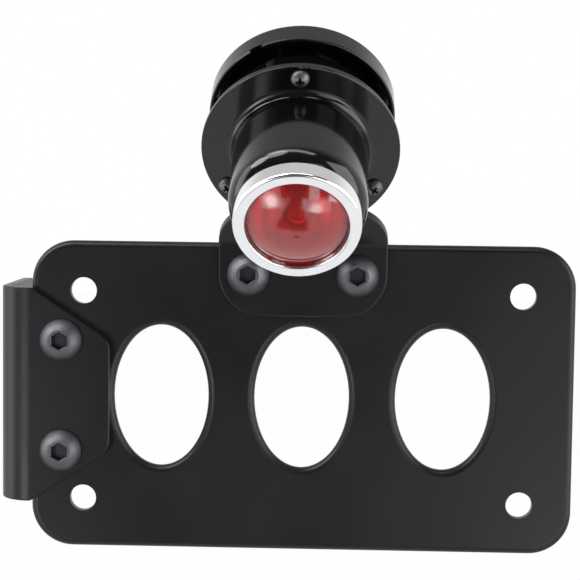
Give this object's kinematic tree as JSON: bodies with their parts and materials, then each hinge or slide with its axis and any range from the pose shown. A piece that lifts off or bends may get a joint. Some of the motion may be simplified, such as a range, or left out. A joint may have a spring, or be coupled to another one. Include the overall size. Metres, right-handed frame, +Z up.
{
  "type": "side mount license plate holder with tail lamp",
  "caption": "Flat black plate holder with oval windows, a rolled side bracket and a round red tail lamp tilted down on a folded strip.",
  "frame": {"origin": "centre of the four plate holes, on the plate's front face", "axes": "+X to the plate's right seen from the front, +Y from the front face to the back, +Z up; the lamp looks towards -Y and down"},
  "size_m": [0.192, 0.1498, 0.1702],
  "materials": {
    "plate_coat": "satin black powder coat on steel",
    "bracket_coat": "satin black powder coat on steel",
    "bolt_black": "black oxide, satin",
    "lamp_black": "gloss black enamel",
    "bezel_chrome": "polished chrome",
    "red_glass": "clear red glass",
    "screw_steel": "bare steel",
    "zinc_steel": "zinc plated",
    "black_rubber": "matt",
    "bright_sheet": "polished",
    "holder_brass": "bare",
    "bulb_glass": "clear",
    "fibre_board": "matt"
  },
  "bodies": {
    "root": {"plate": "plate_coat", "side_bracket": "bracket_coat", "lamp_bracket": "bracket_coat", "side_bracket_bolts": "bolt_black", "lamp_bracket_bolts": "bolt_black", "side_bracket_washers": "zinc_steel", "side_bracket_nuts": "zinc_steel", "lamp_bracket_washers": "zinc_steel", "lamp_bracket_nuts": "zinc_steel", "lamp_base": "lamp_black", "lamp_drum": "lamp_black", "lamp_cover": "lamp_black", "cover_gasket": "black_rubber", "cover_screws": "screw_steel", "lens_bezel": "bezel_chrome", "lens": "red_glass", "lens_gasket": "black_rubber", "reflector": "bright_sheet", "bulb_holder": "holder_brass", "holder_insulator": "fibre_board", "bulb_contact": "holder_brass", "bulb_cap": "holder_brass", "bulb_glass": "bulb_glass", "lamp_mounting_screws": "screw_steel", "lamp_mounting_washers": "zinc_steel", "lamp_mounting_nuts": "zinc_steel", "wire_grommet": "black_rubber"}
  },
  "joints": []
}
